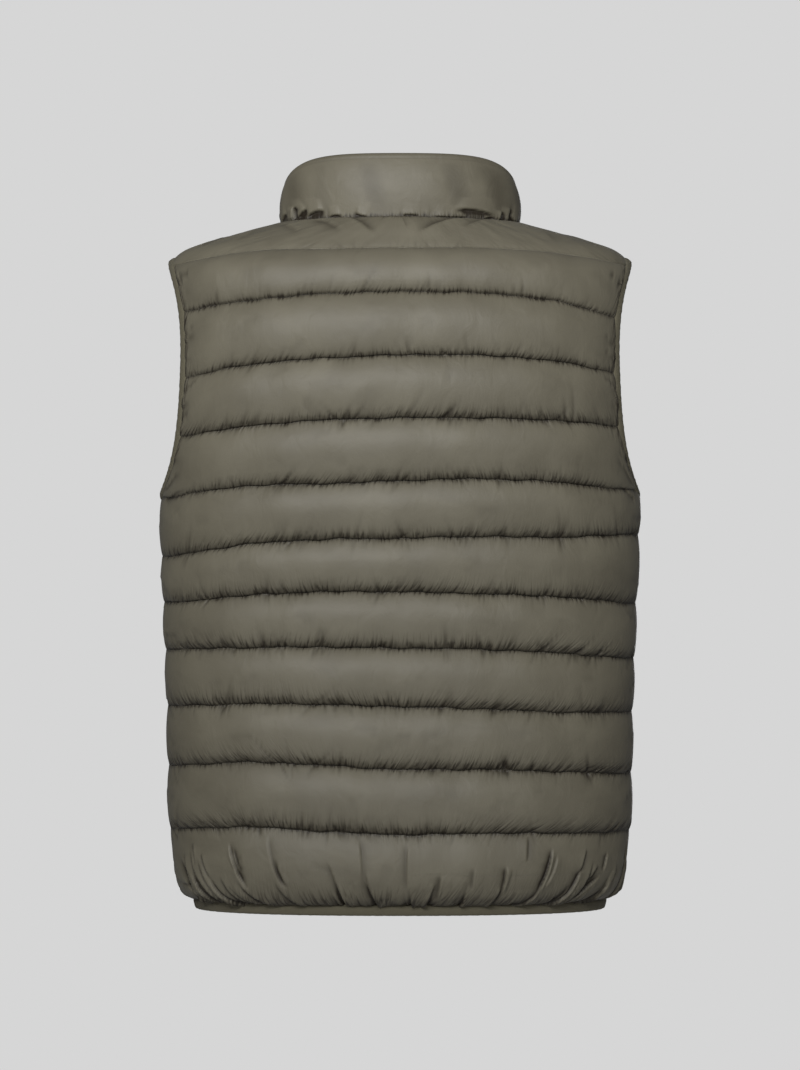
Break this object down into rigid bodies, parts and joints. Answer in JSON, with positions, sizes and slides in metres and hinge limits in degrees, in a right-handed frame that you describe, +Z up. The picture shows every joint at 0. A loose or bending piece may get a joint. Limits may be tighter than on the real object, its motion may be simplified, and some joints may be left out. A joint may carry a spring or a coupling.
{
  "type": "puffer vest",
  "caption": "Sleeveless quilted puffer vest with a stand collar and a full front zip, hollow and filled out as when worn, open at the neck, armholes and hem.",
  "frame": {"origin": "middle of the neck's base, level with the neck ends of the shoulders, where a wearer's shoulders carry the vest", "axes": "+Z up along the wearer's body, +Y the way the wearer faces (the zip is on +Y, the back panel on -Y), +X the wearer's right"},
  "size_m": [0.4812, 0.2681, 0.7475],
  "materials": {
    "shell": "satin nylon taffeta in olive grey, quilted over wadding",
    "binding": "matte folded elastic binding",
    "zip_tape": "matte woven tape",
    "zip_coil": "nylon coil",
    "zip_metal": "satin painted die-cast metal"
  },
  "bodies": {
    "garment": {"back_panel": "shell", "front_left": "shell", "front_right": "shell", "yoke": "shell", "collar": "shell", "armhole_binding_left": "binding", "armhole_binding_right": "binding", "hem_binding": "binding", "zip_tape_left": "zip_tape", "zip_tape_right": "zip_tape", "zip_chain": "zip_coil", "zip_slider": "zip_metal"},
    "pull": {"zip_pull": "zip_metal"}
  },
  "joints": [
    {"name": "pull_swing", "type": "hinge", "parent": "garment", "child": "pull", "pos_m": [0, 0.09783, -0.01781], "axis": [1, 0, 0], "range_deg": [0, 120]}
  ]
}
